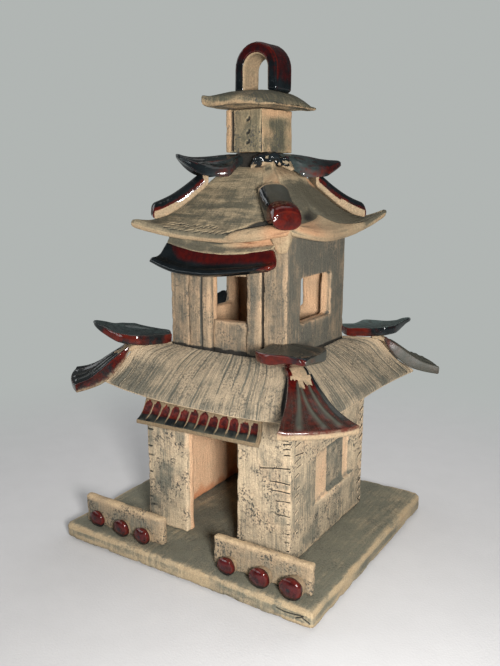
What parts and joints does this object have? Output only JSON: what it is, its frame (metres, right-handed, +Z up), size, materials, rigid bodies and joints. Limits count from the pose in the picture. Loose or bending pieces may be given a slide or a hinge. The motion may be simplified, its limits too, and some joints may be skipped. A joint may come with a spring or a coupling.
{
  "type": "ceramic pagoda model",
  "caption": "Hand-built stoneware pagoda model: hollow storeys with open windows, curved roofs with glazed corners, and an arch on top.",
  "frame": {"origin": "middle of the base plate's underside", "axes": "+Z up, -Y towards the doorway's side, +X to the right seen from the front"},
  "size_m": [0.1926, 0.1858, 0.2982],
  "materials": {
    "clay": "matt, stained",
    "glaze": "gloss"
  },
  "bodies": {
    "root": {"base_plate": "clay", "broken_leaf_front_right": "glaze", "cap_slab": "clay", "door_canopy": "glaze", "door_lintel": "clay", "door_pier_left": "clay", "door_pier_right": "clay", "fan_back_left": "glaze", "fan_back_right": "glaze", "fan_front_left": "glaze", "fan_front_right": "glaze", "finial_arch": "glaze", "ground_back_wall": "clay", "ground_left_wall": "clay", "ground_right_wall": "clay", "hip_bar_back_left": "glaze", "hip_bar_back_right": "glaze", "hip_bar_front_left": "glaze", "hip_bar_front_right": "glaze", "lower_leaf_back_left": "glaze", "lower_leaf_back_right": "glaze", "lower_leaf_front_left": "glaze", "lower_leaf_front_right": "glaze", "lower_roof_back": "clay", "lower_roof_front": "clay", "lower_roof_left": "clay", "lower_roof_right": "clay", "parapet_left": "clay", "parapet_right": "clay", "stub_left_1": "glaze", "stub_left_2": "glaze", "stub_left_3": "glaze", "stub_right_1": "glaze", "stub_right_2": "glaze", "stub_right_3": "glaze", "third_storey": "clay", "top_pad": "clay", "upper_apron": "clay", "upper_back_wall": "clay", "upper_board_left": "clay", "upper_board_right": "clay", "upper_floor": "clay", "upper_head": "clay", "upper_leaf_back_left": "glaze", "upper_leaf_back_right": "glaze", "upper_leaf_front_left": "glaze", "upper_left_wall": "clay", "upper_post_left": "clay", "upper_post_right": "clay", "upper_right_wall": "clay", "upper_roof_back": "clay", "upper_roof_front": "clay", "upper_roof_left": "clay", "upper_roof_right": "clay", "window_awning": "glaze"}
  },
  "joints": []
}
